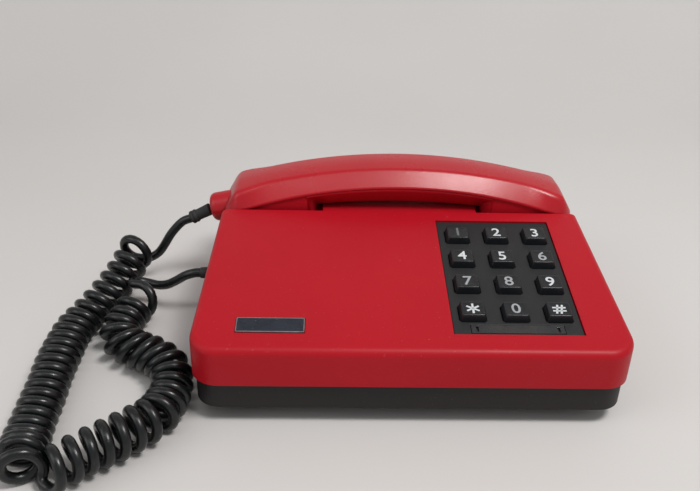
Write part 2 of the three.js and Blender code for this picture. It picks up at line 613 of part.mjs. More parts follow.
function addHandset() {
  const through = () => 30;
  const upperOuter = upperForm(0, partingZ, 0);
  const upperInner = upperForm(HANDSET_WALL, through, HANDSET_WALL + 2);
  const posts = [-1, 1].map((side) => rod(3.5, side * HANDSET_SCREW_X, HANDSET_MIDDLE, 65.4, 76, 14));
  const pilots = [-1, 1].map((side) => rod(SCREW_HOLE, side * HANDSET_SCREW_X, HANDSET_MIDDLE, 60, 73.5, 12));
  const upper = cut(union([upperOuter.subtract(upperInner), ...posts]), [...pilots, collarForm(GAP)]);
  addPart('handset_upper_shell', upper, 'red');

  const cups = [-1, 1].map((side) => cupForm(side, 0, CUP.bottom));
  const hollows = [-1, 1].map((side) => cupForm(side, HANDSET_WALL, CUP.bottom + HANDSET_WALL));
  const channel = gripForm(HANDSET_WALL, 54);
  const bosses = [-1, 1].map((side) => rod(4.6, side * HANDSET_SCREW_X, HANDSET_MIDDLE, 59, 65, 16));
  const recesses = [-1, 1].map((side) => rod(3.1, side * HANDSET_SCREW_X, HANDSET_MIDDLE, 50, 61.6, 16));
  const soundHoles = [];
  for (const side of [-1, 1]) {
    soundHoles.push(rod(1.1, side * CAPSULE_X, HANDSET_MIDDLE, 38, 44, 6));
    for (let k = 0; k < 6; k++) {
      const angle = (k * Math.PI) / 3;
      const at = [side * CAPSULE_X + 6 * Math.cos(angle), HANDSET_MIDDLE + 6 * Math.sin(angle)];
      soundHoles.push(rod(1.1, ...at, 38, 44, 6));
    }
  }
  const shell = union([gripForm(0, 50), ...cups]);
  const lower = cut(union([cut(shell, [channel, ...hollows]), ...bosses]),
    [...recesses, ...pilots, ...soundHoles, collarForm(GAP), aboveParting(-GAP)]);
  addPart('handset_lower_shell', lower, 'red');

  [-1, 1].forEach((side, i) => {
    const x = side * HANDSET_SCREW_X;
    const profile = [[0, 59.6], [2.8, 59.6], [2.8, 61.3], [1.45, 61.3], [1.45, 71], [0, 72.4]];
    const screw = cut(turned(profile, x, HANDSET_MIDDLE, 14), [
      box(x - 2, x + 2, HANDSET_MIDDLE - 0.4, HANDSET_MIDDLE + 0.4, 59, 60.4),
    ]);
    addPart(`handset_screw_${i + 1}`, screw, 'steel');
  });

  const floor = CUP.bottom + HANDSET_WALL + GAP;
  const receiver = turned([[0, floor], [12.6, floor], [13.4, floor + 1], [13.4, floor + 5], [9, floor + 6.5],
    [9, floor + 8.5], [0, floor + 8.5]], -CAPSULE_X, HANDSET_MIDDLE, 20);
  addPart('receiver_capsule', receiver, 'steel');
  const microphone = turned([[0, floor], [9, floor], [9, floor + 3.5], [5, floor + 3.5], [5, floor + 7],
    [0, floor + 7]], CAPSULE_X, HANDSET_MIDDLE, 16);
  addPart('microphone_capsule', microphone, 'rubber');
}

// ---------------------------------------------------------------- cord

function curve(points) {
  return new THREE.CatmullRomCurve3(points.map((p) => (p.isVector3 ? p : new THREE.Vector3(...p))));
}

// A round tube along a curve, closed at both ends
function tube(points, radius, sides, steps) {
  const section = new THREE.Shape();
  for (let k = 0; k < sides; k++) {
    const angle = (k / sides) * 2 * Math.PI;
    const at = [radius * Math.cos(angle), radius * Math.sin(angle)];
    if (k === 0) section.moveTo(...at);
    else section.lineTo(...at);
  }
  return toSolid(new THREE.ExtrudeGeometry(section, { steps, extrudePath: curve(points) }));
}

function addCord() {
  const glandAxis = alongAxis(new THREE.Vector3(GLAND.x, GLAND.y, GLAND.z), new THREE.Vector3(-1, 0, 0));
  const glandProfile = [
    [0, -5], [5.2, -5], [5.2, -2.9], [3.5, -2.9], [3.5, 0.4], [4.7, 0.4], [4.7, 1.8], [3.9, 2.2],
    [3.7, 4], [3, 9.5], [0, 9.5],
  ];
  addPart('cord_gland', turned(glandProfile, 0, 0, 14, glandAxis), 'rubber');
  addPart('cord_collar', collarForm(0), 'red');

  const reliefStart = new THREE.Vector3(...RELIEF.start);
  const reliefRun = new THREE.Vector3(...RELIEF.end).sub(reliefStart);
  const length = reliefRun.length();
  const reliefProfile = [
    [0, 0], [3.4, 0], [3.2, length - 1.6], [4, length - 1.3], [4, length - 0.2], [3.6, length], [0, length],
  ];
  const relief = turned(reliefProfile, 0, 0, 12, alongAxis(reliefStart, reliefRun));
  addPart('cord_relief', relief.subtract(collarForm(GAP)), 'rubber');

  // The outermost points of the tails are hidden in the relief and the gland, and the innermost in the coil
  addPart('cord_tail_handset', tube(HANDSET_TAIL.slice(1, -2), CORD_RADIUS, 8, 8), 'cord');
  addPart('cord_coil_back', tube(COIL_BACK, COIL_RADIUS, 10, 20), 'cord');
  addPart('cord_coil_front', tube(COIL_FRONT, COIL_RADIUS, 10, 24), 'cord');
  addPart('cord_tail_base', tube(BASE_TAIL.slice(3, -1), CORD_RADIUS, 8, 12), 'cord');
}

addTopCover();
addBaseTray();
addFeet();
addCaseScrews();
addKeypad();
addBadge();
addElectronics();
addHookSwitch();
addHandset();
addCord();

export default phone;
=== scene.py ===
"""Looks of the push-button desk telephone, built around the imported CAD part.

Metres, in the part's own frame: +X is the telephone's right, +Y its back, +Z up.
Sizes that repeat the part's are written in millimetres and turned into metres by mm().
"""

import math

import bmesh
import bpy
import numpy as np
from mathutils import Matrix, Vector


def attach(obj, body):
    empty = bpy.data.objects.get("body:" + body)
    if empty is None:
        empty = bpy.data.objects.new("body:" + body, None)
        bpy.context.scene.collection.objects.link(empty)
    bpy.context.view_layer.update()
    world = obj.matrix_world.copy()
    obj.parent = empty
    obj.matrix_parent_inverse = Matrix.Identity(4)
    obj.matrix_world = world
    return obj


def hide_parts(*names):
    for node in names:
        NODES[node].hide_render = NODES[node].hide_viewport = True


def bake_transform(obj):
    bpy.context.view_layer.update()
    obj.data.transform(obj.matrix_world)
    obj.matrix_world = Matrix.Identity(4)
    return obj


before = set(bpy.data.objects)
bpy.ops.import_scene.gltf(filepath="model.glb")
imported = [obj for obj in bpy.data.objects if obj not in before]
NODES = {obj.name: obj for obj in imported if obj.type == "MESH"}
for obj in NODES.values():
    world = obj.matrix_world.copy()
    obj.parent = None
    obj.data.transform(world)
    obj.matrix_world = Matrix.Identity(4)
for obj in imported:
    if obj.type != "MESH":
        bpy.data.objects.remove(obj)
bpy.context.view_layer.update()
scene = bpy.context.scene
BODY, HANDSET = "phone_body", "handset"


def mm(*values):
    return [v / 1000 for v in values] if len(values) > 1 else values[0] / 1000


# ---------------------------------------------------------------- camera

CAMERA_PLACE = mm(-37.79, -366.88, 252.39)
CAMERA_YAW, CAMERA_PITCH, CAMERA_ROLL = math.radians(1.65), math.radians(28.87), math.radians(1.52)


def make_camera():
    data = bpy.data.cameras.new("camera")
    data.lens = 42.02
    data.sensor_width = 36
    data.clip_start, data.clip_end = 0.01, 20
    camera = bpy.data.objects.new("camera", data)
    scene.collection.objects.link(camera)
    turn = (Matrix.Rotation(-CAMERA_YAW, 4, "Z") @ Matrix.Rotation(math.pi / 2 - CAMERA_PITCH, 4, "X")
            @ Matrix.Rotation(CAMERA_ROLL, 4, "Z"))
    camera.matrix_world = Matrix.Translation(CAMERA_PLACE) @ turn
    scene.camera = camera


make_camera()


# ---------------------------------------------------------------- mesh tools

def new_object(name, mesh):
    piece = bpy.data.objects.new(name, mesh)
    scene.collection.objects.link(piece)
    return piece


def skin(name, rings, closed=False):
    """A solid through rings of points, capped at both ends, or joined end to start when closed."""
    form = bmesh.new()
    loops = [[form.verts.new(p) for p in ring] for ring in rings]
    pairs = list(zip(loops, loops[1:])) + ([(loops[-1], loops[0])] if closed else [])
    for low, high in pairs:
        for i in range(len(low)):
            j = (i + 1) % len(low)
            form.faces.new((low[i], low[j], high[j], high[i]))
    if not closed:
        form.faces.new(loops[0][::-1])
        form.faces.new(loops[-1])
    bmesh.ops.recalc_face_normals(form, faces=form.faces)
    mesh = bpy.data.meshes.new(name)
    form.to_mesh(mesh)
    form.free()
    return new_object(name, mesh)


def lathe(name, profile, place, sides=40):
    """A turned solid: profile points are (radius, height) along the +Z of place."""
    form = bmesh.new()
    loops = []
    for radius, height in profile:
        if radius == 0:
            loops.append([form.verts.new(place @ Vector((0, 0, height)))])
            continue
        angles = [2 * math.pi * k / sides for k in range(sides)]
        loops.append([form.verts.new(place @ Vector((radius * math.cos(a), radius * math.sin(a), height)))
                      for a in angles])
    for low, high in zip(loops, loops[1:]):
        for i in range(sides):
            j = (i + 1) % sides
            corners = [low[i % len(low)], low[j % len(low)], high[j % len(high)], high[i % len(high)]]
            form.faces.new(list(dict.fromkeys(corners)))
    bmesh.ops.recalc_face_normals(form, faces=form.faces)
    mesh = bpy.data.meshes.new(name)
    form.to_mesh(mesh)
    form.free()
    return new_object(name, mesh)


def block(x0, x1, y0, y1, z0, z1, place=None):
    """A box in millimetres, kept as a cutting or joining tool."""
    corners = ((x0, y0), (x1, y0), (x1, y1), (x0, y1))
    rings = [[Vector((x, y, z)) / 1000 for x, y in corners] for z in (z0, z1)]
    if place:
        rings = [[place @ p for p in ring] for ring in rings]
    return skin("tool", rings)


def pin(radius, x, y, z0, z1, sides=32):
    """A cylinder in millimetres along +Z, kept as a cutting or joining tool."""
    profile = [mm(*p) for p in ((0, z0), (radius, z0), (radius, z1), (0, z1))]
    return lathe("tool", profile, Matrix.Translation(mm(x, y, 0)), sides)


def apply_modifiers(piece):
    bpy.context.view_layer.update()
    made = bpy.data.meshes.new_from_object(piece.evaluated_get(bpy.context.evaluated_depsgraph_get()))
    piece.modifiers.clear()
    piece.data = made


def combine(piece, tools, operation):
    """Joins, cuts or trims a piece with each tool in turn."""
    for tool in tools:
        step = piece.modifiers.new("step", "BOOLEAN")
        step.solver = "MANIFOLD"
        step.operation = operation
        step.object = tool
        apply_modifiers(piece)
    for tool in tools:
        bpy.data.objects.remove(tool)
    return piece


def flatten(piece, angle=0.8):
    """Joins the coplanar faces that cutting has left."""
    form = bmesh.new()
    form.from_mesh(piece.data)
    bmesh.ops.remove_doubles(form, verts=form.verts, dist=2e-6)
    bmesh.ops.dissolve_limit(form, angle_limit=math.radians(angle), verts=form.verts, edges=form.edges)
    form.to_mesh(piece.data)
    form.free()


def soften(piece, width, segments=2, angle=32):
    """Rounds a piece's sharp edges by a width in millimetres and shades it smoothly."""
    for face in piece.data.polygons:
        face.use_smooth = True
    edge = piece.modifiers.new("edge", "BEVEL")
    edge.width = width / 1000
    edge.segments = segments
    edge.limit_method = "ANGLE"
    edge.angle_limit = math.radians(angle)
    edge.harden_normals = True
    edge.use_clamp_overlap = True
    return piece


def smooth_cad(node, width):
    """Welds a carried-over CAD node, with its edges broken where a width is given."""
    piece = NODES[node]
    weld = piece.modifiers.new("weld", "WELD")
    weld.merge_threshold = 1e-5
    if width:
        edge = piece.modifiers.new("edge", "BEVEL")
        edge.width = width / 1000
        edge.segments = 2
        edge.limit_method = "ANGLE"
        edge.angle_limit = math.radians(32)
    return piece


def paint(piece, material):
    piece.data.materials.clear()
    piece.data.materials.append(material)
    return piece


def finish_piece(piece, material, body, slot, *nodes):
    paint(piece, material)
    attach(piece, body)
    if nodes:
        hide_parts(*nodes)
    return piece


def along(start, end):
    """Carries +Z from the origin to a start point, towards an end point."""
    direction = Vector(end) - Vector(start)
    return Matrix.Translation(start) @ direction.to_track_quat("Z", "Y").to_matrix().to_4x4()


def rounded(corners, radii, steps):
    """A polygon with its corners rounded, or left sharp where the radius is 0."""
    outline = []
    for i, corner in enumerate(corners):
        here = Vector(corner)
        before = (Vector(corners[i - 1]) - here).normalized()
        after = (Vector(corners[(i + 1) % len(corners)]) - here).normalized()
        radius = radii[i % len(radii)]
        half = before.angle(after) / 2
        if radius == 0 or half > math.pi / 2 - 1e-4:
            outline.append(here)
            continue
        centre = (before + after).normalized() * (radius / math.sin(half))
        start = before * (radius / math.tan(half)) - centre
        end = after * (radius / math.tan(half)) - centre
        sweep = math.atan2(start.x * end.y - start.y * end.x, start.dot(end))
        for k in range(steps + 1):
            a = sweep * k / steps
            spoke = Vector((start.x * math.cos(a) - start.y * math.sin(a),
                            start.x * math.sin(a) + start.y * math.cos(a)))
            outline.append(here + centre + spoke)
    return outline


def rectangle(x0, x1, y0, y1, radius, steps=6):
    return rounded([(x0, y0), (x1, y0), (x1, y1), (x0, y1)], [radius], steps)


def level(outline, height):
    """An outline in millimetres as a ring of points in metres. Its height may be a function of y."""
    return [Vector((p.x, p.y, height(p.y) if callable(height) else height)) / 1000 for p in outline]


# ---------------------------------------------------------------- materials

def linear(red, green, blue):
    """A colour from its 8-bit display values."""
    channels = []
    for value in (red, green, blue):
        share = value / 255
        channels.append(share / 12.92 if share < 0.04 else ((share + 0.055) / 1.055) ** 2.4)
    return [*channels, 1]


class Surface:
    """A Principled material with helpers that add its procedural detail."""

    def __init__(self, name, colour, roughness, metallic=0.0, specular=0.5):
        self.material = bpy.data.materials.new(name)
        self.material.use_nodes = True
        self.tree = self.material.node_tree
        self.shader = next(n for n in self.tree.nodes if n.type == "BSDF_PRINCIPLED")
        self.shader.inputs["Base Color"].default_value = colour
        self.shader.inputs["Roughness"].default_value = roughness
        self.shader.inputs["Metallic"].default_value = metallic
        self.shader.inputs["Specular IOR Level"].default_value = specular
        self.colour = colour
        self.roughness = roughness
        self.colour_from = None
        self.bump_from = None
        self.place = self.node("ShaderNodeTexCoord").outputs["Object"]

    def node(self, kind, **values):
        made = self.tree.nodes.new(kind)
        for key, value in values.items():
            if key in made.inputs:
                made.inputs[key].default_value = value
            else:
                setattr(made, key, value)
        return made

    def link(self, source, target):
        self.tree.links.new(source, target)

    def noise(self, scale, detail=2.0, stretch=None):
        texture = self.node("ShaderNodeTexNoise", Scale=scale, Detail=detail)
        place = self.place
        if stretch:
            mapping = self.node("ShaderNodeMapping", Scale=stretch)
            self.link(place, mapping.inputs["Vector"])
            place = mapping.outputs["Vector"]
        self.link(place, texture.inputs["Vector"])
        return texture.outputs["Fac"]

    def spread(self, source, low, high, to_low=0.0, to_high=1.0):
        """Maps a texture's values from low..high to a new range, held at its ends."""
        maps = self.node("ShaderNodeMapRange")
        for socket, value in zip(maps.inputs[1:5], (low, high, to_low, to_high)):
            socket.default_value = value
        self.link(source, maps.inputs[0])
        return maps.outputs[0]

    def tint(self, factor, colour):
        """Mixes another colour over what is there, by a factor."""
        mix = self.node("ShaderNodeMix", data_type="RGBA")
        mix.inputs[6].default_value = self.colour
        if self.colour_from:
            self.link(self.colour_from, mix.inputs[6])
        mix.inputs[7].default_value = colour
        self.link(factor, mix.inputs[0])
        self.colour_from = mix.outputs[2]
        self.link(self.colour_from, self.shader.inputs["Base Color"])
        return self

    def vary_roughness(self, scale, amount, detail=3.0, stretch=None):
        rough = self.spread(self.noise(scale, detail, stretch), 0.3, 0.7,
                            self.roughness - amount, self.roughness + amount)
        self.link(rough, self.shader.inputs["Roughness"])
        return self

    def bump(self, source, depth_mm, strength=1.0):
        relief = self.node("ShaderNodeBump", Strength=strength, Distance=depth_mm / 1000)
        self.link(source, relief.inputs["Height"])
        if self.bump_from:
            self.link(self.bump_from, relief.inputs["Normal"])
        self.bump_from = relief.outputs["Normal"]
        self.link(self.bump_from, self.shader.inputs["Normal"])
        return self

    def dust(self, colour, amount=0.35, scale=900):
        specks = self.spread(self.noise(scale, 3.0), 0.68, 0.76, 0, amount)
        return self.tint(specks, colour)

    def clouds(self, colour, amount, scale=14):
        return self.tint(self.spread(self.noise(scale, 3.0), 0.35, 0.75, 0, amount), colour)

    def scratches(self, colour, amount, stretch):
        lines = self.spread(self.noise(60, 2.0, stretch), 0.70, 0.74, 0, amount)
        return self.tint(lines, colour)


def moulded(name, colour, roughness, grain_mm, cloud, speck, scratch, specular=0.3):
    """Moulded plastic: a spark-eroded grain, faint clouds, hairline scratches and specks of dust."""
    surface = Surface(name, colour, roughness, specular=specular)
    surface.clouds(cloud, 0.30)
    surface.scratches(scratch, 0.04, (1, 22, 9))
    surface.dust(speck, 0.20)
    surface.vary_roughness(30, 0.05)
    surface.bump(surface.noise(2300, 2.0), grain_mm, 0.55)
    surface.bump(surface.noise(240, 2.0), grain_mm * 0.8, 0.14)
    return surface


RED, DARK_RED = linear(170, 16, 30), linear(144, 10, 22)
PALE_RED, RED_SPECK = linear(184, 52, 62), linear(205, 150, 150)


def red_shell():
    return moulded("red_shell", RED, 0.42, 0.035, DARK_RED, RED_SPECK, PALE_RED, 0.2)


def handset_red():
    """The shell's red with a glossier, coarser grain."""
    surface = moulded("handset_red", RED, 0.30, 0.05, DARK_RED, RED_SPECK, PALE_RED, 0.42)
    return surface.bump(surface.noise(1500, 1.0), 0.07, 0.6)


def black_base():
    return moulded("black_base", linear(31, 27, 28), 0.50, 0.045, linear(42, 37, 36),
                   linear(110, 104, 100), linear(66, 60, 58))


def charcoal_panel():
    return moulded("charcoal_panel", linear(35, 36, 38), 0.50, 0.03, linear(46, 45, 42),
                   linear(104, 102, 98), linear(58, 58, 57))


def key_plastic():
    return moulded("key_plastic", linear(20, 22, 25), 0.30, 0.012, linear(28, 31, 35),
                   linear(90, 92, 96), linear(50, 53, 58), 0.45)


def inner_housing():
    return moulded("inner_housing", linear(62, 64, 70), 0.55, 0.03, linear(76, 78, 82),
                   linear(120, 120, 120), linear(92, 94, 98))


def card_window():
    surface = Surface("card_window", linear(38, 38, 42), 0.26)
    surface.clouds(linear(58, 56, 50), 0.6, 60).dust(linear(130, 126, 118), 0.4, 700)
    surface.vary_roughness(80, 0.08)
    return surface.bump(surface.noise(120, 2.0), 0.05, 0.3)


def cord_sheath():
    surface = Surface("cord_sheath", linear(14, 16, 17), 0.30, specular=0.45)
    surface.clouds(linear(26, 28, 30), 0.5, 60).dust(linear(110, 110, 106), 0.20, 600)
    surface.vary_roughness(120, 0.06)
    return surface.bump(surface.noise(700, 2.0), 0.03, 0.3)


def rubber():
    surface = Surface("rubber", linear(30, 30, 31), 0.72)
    surface.clouds(linear(52, 51, 50), 0.5, 90).dust(linear(120, 118, 114), 0.5, 800)
    surface.vary_roughness(150, 0.1)
    return surface.bump(surface.noise(1600, 2.0), 0.05, 0.5)


def silicone():
    surface = Surface("silicone", linear(196, 198, 198), 0.6)
    surface.clouds(linear(176, 178, 178), 0.6, 40).vary_roughness(90, 0.08)
    return surface.bump(surface.noise(900, 2.0), 0.03, 0.3)


def circuit_board():
    """Green lacquer over paler tracks, which follow the edges of a cell pattern."""
    surface = Surface("circuit_board", linear(44, 104, 60), 0.42)
    cells = surface.node("ShaderNodeTexVoronoi", feature="DISTANCE_TO_EDGE", Scale=120.0)
    surface.link(surface.place, cells.inputs["Vector"])
    surface.tint(surface.spread(cells.outputs["Distance"], 0.03, 0.06, 0.6, 0), linear(74, 140, 84))
    surface.clouds(linear(34, 84, 50), 0.4, 30).vary_roughness(60, 0.08)
    return surface.bump(surface.noise(1200, 2.0), 0.02, 0.3)


def zinc_steel():
    surface = Surface("zinc_steel", linear(196, 196, 192), 0.34, metallic=1.0)
    surface.clouds(linear(150, 148, 140), 0.7, 180).vary_roughness(500, 0.12, stretch=(1, 1, 6))
    return surface.bump(surface.noise(1500, 2.0), 0.02, 0.35)


def badge_plate():
    surface = Surface("badge_plate", linear(36, 40, 52), 0.30, metallic=0.35)
    surface.clouds(linear(50, 54, 66), 0.6, 120).scratches(linear(120, 126, 140), 0.4, (3, 30, 9))
    surface.dust(linear(150, 152, 156), 0.4, 1200).vary_roughness(160, 0.1)
    return surface.bump(surface.noise(1800, 2.0), 0.02, 0.3)


def badge_border():
    surface = Surface("badge_border", linear(150, 148, 152), 0.38, metallic=0.8)
    surface.clouds(linear(110, 108, 114), 0.6, 300).vary_roughness(400, 0.12)
    return surface.bump(surface.noise(1500, 2.0), 0.02, 0.3)


def print_ink(name, wear):
    """White ink that is worn down to the key's colour, most of all in patches."""
    surface = Surface(name, linear(206, 210, 212), 0.5)
    surface.clouds(linear(168, 174, 178), 0.5, 300)
    shift = 0.36 - wear * 0.34
    worn = surface.spread(surface.noise(900, 3.0), shift, shift + 0.2, wear, wear * 0.85)
    surface.tint(worn, linear(34, 37, 42)).vary_roughness(600, 0.1)
    return surface.bump(surface.noise(2200, 2.0), 0.01, 0.4)


def pale_paper():
    surface = Surface("pale_paper", linear(204, 202, 200), 0.62, specular=0.3)
    surface.clouds(linear(196, 193, 190), 0.6, 2.5).vary_roughness(6, 0.05)
    return surface.bump(surface.noise(5, 2.0), 4.0, 0.12)


SURFACES = {
    "red": red_shell(),
    "handset": handset_red(),
    "black": black_base(),
    "charcoal": charcoal_panel(),
    "key": key_plastic(),
    "housing": inner_housing(),
    "window": card_window(),
    "cord": cord_sheath(),
    "rubber": rubber(),
    "silicone": silicone(),
    "board": circuit_board(),
    "steel": zinc_steel(),
    "plate": badge_plate(),
    "silver": badge_border(),
    "print_fresh": print_ink("print_fresh", 0.03),
    "print_worn": print_ink("print_worn", 0.55),
    "print_gone": print_ink("print_gone", 0.94),
    "paper": pale_paper(),
}
MATERIALS = {name: surface.material for name, surface in SURFACES.items()}


# ---------------------------------------------------------------- cord

CORD_RADIUS = mm(2.5)
COIL_RADIUS = mm(7.9)
SNUG_PITCH = mm(5.15)
POINTS_PER_TURN = 20
CORD_SIDES = 12
# Parts of a turn: where the first turn starts, and what is left over at the corner and at the end
TURN_START, CORNER_PART, LAST_PART = -0.25, 0.75, -0.19
RELIEF_START, RELIEF_END = mm(-104.1, 46.5, 47.2), mm(-115.7, 46.5, 41.1)
GLAND = mm(-96.6, 8, 28)

# The cord's route in millimetres, from the relief to the gland. The coiled lists are the helix's axis
HANDSET_TAIL = [
    (-114.4, 46.5, 41.8), (-116.1, 46.5, 40.8), (-121.5, 46.8, 38.1), (-127.8, 46.9, 31),
    (-132.4, 46.8, 23.6), (-134.5, 46.7, 20.4), (-136.9, 46.5, 17.7), (-141.4, 46.1, 15.2),
]
COIL_BACK = [
    (-147.4, 46, 22.8), (-149.2, 38.8, 20.2), (-151.8, 31.5, 17.2), (-154.8, 23.3, 14.4),
    (-157.8, 15.3, 12.3), (-160.6, 7.6, 11.2), (-164.6, -5, 10.7), (-168, -22, 10.7), (-168.3, -46, 10.7),
    (-166.8, -72, 10.7), (-165.8, -94, 10.7), (-164.6, -106, 10.7), (-163, -114.5, 10.7),
]
COIL_CORNER = [(-160, -121, 10.7), (-154, -123.8, 10.7)]
COIL_FRONT = [
    (-147.6, -118.6, 10.7), (-142.2, -113.2, 10.7), (-136.8, -108.4, 10.7), (-129.7, -102.6, 10.7),
    (-122.4, -96, 10.7), (-113.6, -86, 10.7), (-110.4, -73, 10.7), (-110.6, -60, 10.7), (-114.5, -50, 10.7),
    (-123, -41.5, 10.7), (-133.5, -35.5, 10.7), (-141.6, -28, 10.7), (-144.4, -18, 10.7),
    (-142.2, -7, 10.7), (-140.6, 2, 10.7), (-138.6, 9, 11.4),
]
BASE_TAIL = [
    (-143.8, 12.6, 17.9), (-145, 15.5, 17.1), (-143.8, 18.5, 15.9), (-140.6, 20, 14.6),
    (-136.2, 19.8, 13.7), (-131.2, 17.7, 13.9), (-125.6, 14.6, 16.4), (-120, 11.6, 20.8),
    (-114.5, 9.2, 25.4), (-109.6, 8.1, 27.7), (-106.7, 8, 28), (-104.6, 8, 28),
]


def metres(points):
    return np.array(points, float) / 1000


def unit(vectors):
    return vectors / np.linalg.norm(vectors, axis=-1, keepdims=True)


def spline(points, before=None, after=None, per=24):
    """A smooth curve through points. The two outer points steer its ends."""
    first = points[0] * 2 - points[1] if before is None else before
    last = points[-1] * 2 - points[-2] if after is None else after
    control = np.vstack([first, points, last])
    curve = []
    for a, b, c, d in zip(control, control[1:], control[2:], control[3:]):
        for t in np.arange(per) / per:
            curve.append(0.5 * (2 * b + (c - a) * t + (2 * a - 5 * b + 4 * c - d) * t**2
                                + (3 * b - a - 3 * c + d) * t**3))
    return np.array(curve + [control[-2]])


def evenly(line, step):
    """The line with points a step apart, and their places along it."""
    run = np.concatenate([[0], np.cumsum(np.linalg.norm(np.diff(line, axis=0), axis=1))])
    at = np.linspace(0, run[-1], round(run[-1] / step) + 1)
    return np.stack([np.interp(at, run, line[:, k]) for k in range(3)], axis=1), at


def ramp(values, low, high):
    """0 below low, 1 above high, and a soft step between."""
    t = np.clip((values - mm(low)) / mm(high - low), 0, 1)
    return t * t * (3 - 2 * t)


def averaged(values, window):
    padded = np.pad(values, window // 2, mode="edge")
    return np.convolve(padded, np.ones(window) / window, mode="valid")


def nearest(turns, part):
    """The nearest number of whole turns and a set part."""
    return round(turns - part) + part


def coil_lean(at, past, left):
    """How far the turns lean: below 0 forwards over their run, above 0 backwards."""
    lean = 0.05 - 0.7 * ramp(at, 0, 11) + 0.05 * ramp(at, 50, 80)
    lean += 0.85 * ramp(past, -30, -5) - 0.25 * ramp(past, 0, 8) + 0.5 * ramp(past, 45, 80)
    return averaged(lean - 0.7 * ramp(-left, -12, -3), 41)


def coil_pull(at, past, left):
    """How far the turns are pulled apart, as a share of the snug pitch."""
    pull = 0.32 * (1 - ramp(at, 45, 75)) + 0.3 * ramp(past, -28, -12) * (1 - ramp(past, 45, 65))
    pull += 0.8 * ramp(-left, -18, -6) + 0.04 * np.sin(at / 0.0135) + 0.03 * np.sin(at / 0.0071 + 1)
    return np.maximum(pull, 0)


def coil_line():
    """The coiled run's centreline: a helix of leaning turns, crowded at the corner of its loop."""
    axis, at = evenly(spline(metres(COIL_BACK + COIL_CORNER + COIL_FRONT)), mm(0.2))
    for _ in range(30):
        axis[1:-1] = (axis[:-2] + 2 * axis[1:-1] + axis[2:]) / 4
    forward = unit(np.gradient(axis, axis=0))
    bend = averaged(np.linalg.norm(np.gradient(forward, at, axis=0), axis=1), 51)
    corner = int(bend.argmax())
    past, left = at - at[corner], at[-1] - at
    lean = coil_lean(at, past, left)
    normal = unit(unit(forward * [1, 1, 0]) + lean[:, None] * np.array([0, 0, 1]))
    side = unit(np.cross(normal, [0, 0, 1]))
    up = np.cross(side, normal)
    square = (forward * normal).sum(axis=1)
    crowding = 1 - np.minimum(0.8 * COIL_RADIUS * bend, 0.72)
    pitch = SNUG_PITCH * (1 + coil_pull(at, past, left)) / square / crowding
    turns = np.concatenate([[0], np.cumsum(np.diff(at) * 2 / (pitch[1:] + pitch[:-1]))])
    to_corner = nearest(turns[corner], CORNER_PART)
    from_corner = nearest(turns[-1] - turns[corner], LAST_PART)
    beyond = (turns - turns[corner]) / (turns[-1] - turns[corner])
    counted = np.where(beyond <= 0, turns / turns[corner] * to_corner, to_corner + beyond * from_corner)
    angle = 2 * math.pi * (counted + TURN_START)
    axis[:, 2] -= COIL_RADIUS * (1 - up[:, 2])
    radius = COIL_RADIUS * (1 + 0.02 * np.sin(at / 0.011) + 0.015 * np.sin(at / 0.0047))
    radius = np.minimum(radius, (axis[:, 2] - CORD_RADIUS - mm(0.1)) / up[:, 2])
    helix = axis + radius[:, None] * (np.cos(angle)[:, None] * side + np.sin(angle)[:, None] * up)
    steps = np.linspace(angle[0], angle[-1], round(counted[-1] * POINTS_PER_TURN) + 1)
    return np.stack([np.interp(steps, angle, helix[:, k]) for k in range(3)], axis=1)


def cord_line():
    coil = coil_line()
    into, out = unit(coil[1] - coil[0]), unit(coil[-1] - coil[-2])
    handset_tail, base_tail = metres(HANDSET_TAIL), metres(BASE_TAIL)
    reach_in = np.linalg.norm(coil[0] - handset_tail[-1])
    reach_out = np.linalg.norm(base_tail[0] - coil[-1])
    first = spline(np.vstack([handset_tail, coil[0]]), after=handset_tail[-1] + 2 * into * reach_in, per=8)
    last = spline(np.vstack([coil[-1], base_tail]), before=base_tail[0] - 2 * out * reach_out, per=8)
    return np.vstack([first[:-1], coil, last[1:]])


def tube(name, line, radius, sides):
    """A round tube along a line, with a frame that is carried along without twisting."""
    forward = unit(np.gradient(line, axis=0))
    side = unit(np.cross(forward[0], [0, 0, 1]))
    spokes = [(math.cos(2 * math.pi * k / sides), math.sin(2 * math.pi * k / sides)) for k in range(sides)]
    rings = []
    for point, ahead in zip(line, forward):
        side = unit(side - ahead * side.dot(ahead))
        up = np.cross(side, ahead)
        rings.append([Vector(point + radius * (c * side + s * up)) for c, s in spokes])
    piece = skin(name, rings)
    for face in piece.data.polygons:
        face.use_smooth = len(face.vertices) == 4
    return piece


def make_cord():
    line = cord_line()
    length = float(np.linalg.norm(np.diff(line, axis=0), axis=1).sum())
    piece = tube("handset_cord", line, CORD_RADIUS, CORD_SIDES)
    paint(piece, MATERIALS["cord"])
    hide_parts("cord_tail_handset", "cord_coil_back", "cord_coil_front", "cord_tail_base")
    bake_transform(piece)
    return piece, line, length


cord, cord_path, cord_length = make_cord()


# ---------------------------------------------------------------- body

